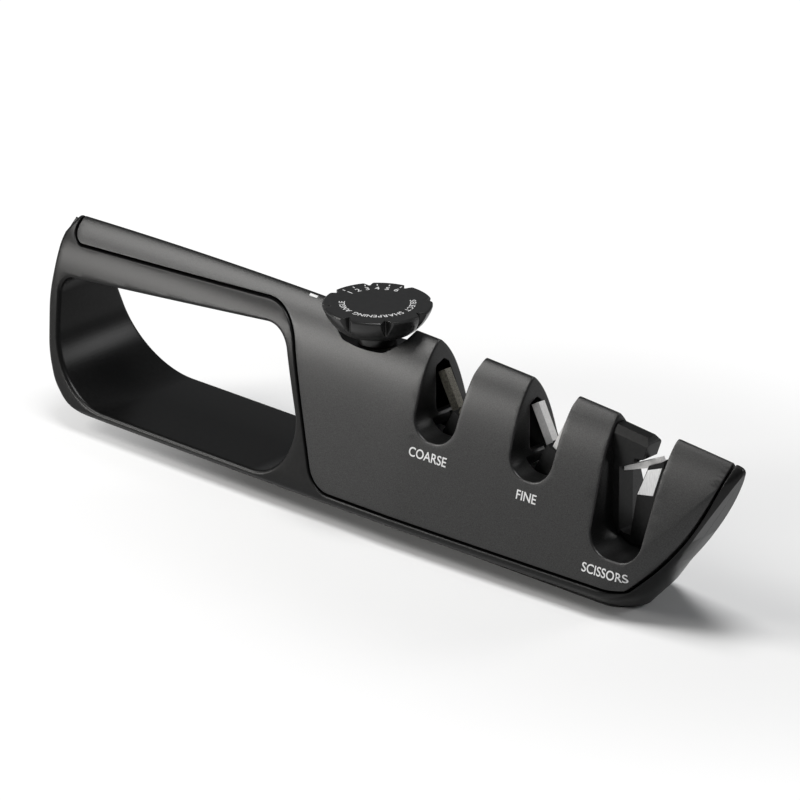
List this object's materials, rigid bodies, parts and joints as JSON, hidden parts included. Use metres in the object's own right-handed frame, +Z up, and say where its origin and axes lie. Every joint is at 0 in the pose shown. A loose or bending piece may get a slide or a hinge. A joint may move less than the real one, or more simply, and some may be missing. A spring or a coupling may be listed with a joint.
{
  "type": "pull through knife sharpener",
  "caption": "Pull-through knife sharpener with a loop handle, crossed coarse and fine stones, a scissors station and an angle dial.",
  "frame": {"origin": "middle of the length on the centre plane, at the table under the base pad", "axes": "+X from the handle to the nose, +Y to the rear of the picture, +Z up"},
  "size_m": [0.2441, 0.0374, 0.0597],
  "materials": {
    "black_plastic": "fine satin moulded black",
    "satin_cover": "satin metallic anthracite with a fine grain",
    "knob_plastic": "gloss black sides, satin top",
    "rubber": "matt",
    "steel": "ground",
    "brass": "turned",
    "white_plastic": "natural",
    "coarse_stone": "coarse dark olive grey grit",
    "white_ceramic": "fine matt white"
  },
  "bodies": {
    "root": {"frame": "black_plastic", "top_cover": "satin_cover", "base_plate": "black_plastic", "base_pad": "rubber", "base_screws": "steel", "shaft_bush": "brass", "chassis": "black_plastic", "pivot_pins": "steel", "scissors_insert": "black_plastic", "scissors_bar": "white_ceramic", "scissors_plate": "steel", "insert_screw": "steel", "front_cover_screw": "steel", "centre_cover_screw": "steel", "detent_spring": "steel"},
    "dial": {"angle_knob": "knob_plastic", "knob_shaft": "steel", "crank_disc": "steel", "retaining_ring": "steel"},
    "slider": {"cam_slider": "white_plastic"},
    "coarse_rear": {"coarse_rear_carrier": "black_plastic", "coarse_rear_stone": "coarse_stone"},
    "coarse_front": {"coarse_front_carrier": "black_plastic", "coarse_front_stone": "coarse_stone"},
    "fine_rear": {"fine_rear_carrier": "black_plastic", "fine_rear_stone": "white_ceramic"},
    "fine_front": {"fine_front_carrier": "black_plastic", "fine_front_stone": "white_ceramic"}
  },
  "joints": [
    {"name": "dial_turn", "type": "hinge", "parent": "root", "child": "dial", "pos_m": [-0.0082, 0, 0.056], "axis": [0, 0, 1], "range_deg": [0, 75], "deforming": ["detent_spring"]},
    {"name": "slider_slide", "type": "slide", "parent": "root", "child": "slider", "axis": [1, 0, 0], "range_m": [0, 0.0039]},
    {"name": "coarse_rear_tilt", "type": "hinge", "parent": "root", "child": "coarse_rear", "pos_m": [0.0268, 0.002, 0.024], "axis": [0, 1, 0], "range_deg": [0, 10]},
    {"name": "coarse_front_tilt", "type": "hinge", "parent": "root", "child": "coarse_front", "pos_m": [0.018, -0.002, 0.024], "axis": [0, -1, 0], "range_deg": [0, 10]},
    {"name": "fine_rear_tilt", "type": "hinge", "parent": "root", "child": "fine_rear", "pos_m": [0.06041, 0.002, 0.024], "axis": [0, 1, 0], "range_deg": [0, 10]},
    {"name": "fine_front_tilt", "type": "hinge", "parent": "root", "child": "fine_front", "pos_m": [0.05161, -0.002, 0.024], "axis": [0, -1, 0], "range_deg": [0, 10]}
  ],
  "couplings": [
    {"joint": "slider_slide", "follows": "dial_turn", "m_per_rad": 0.002976},
    {"joint": "coarse_rear_tilt", "follows": "dial_turn", "ratio": 0.13333},
    {"joint": "coarse_front_tilt", "follows": "dial_turn", "ratio": 0.13333},
    {"joint": "fine_rear_tilt", "follows": "dial_turn", "ratio": 0.13333},
    {"joint": "fine_front_tilt", "follows": "dial_turn", "ratio": 0.13333}
  ]
}
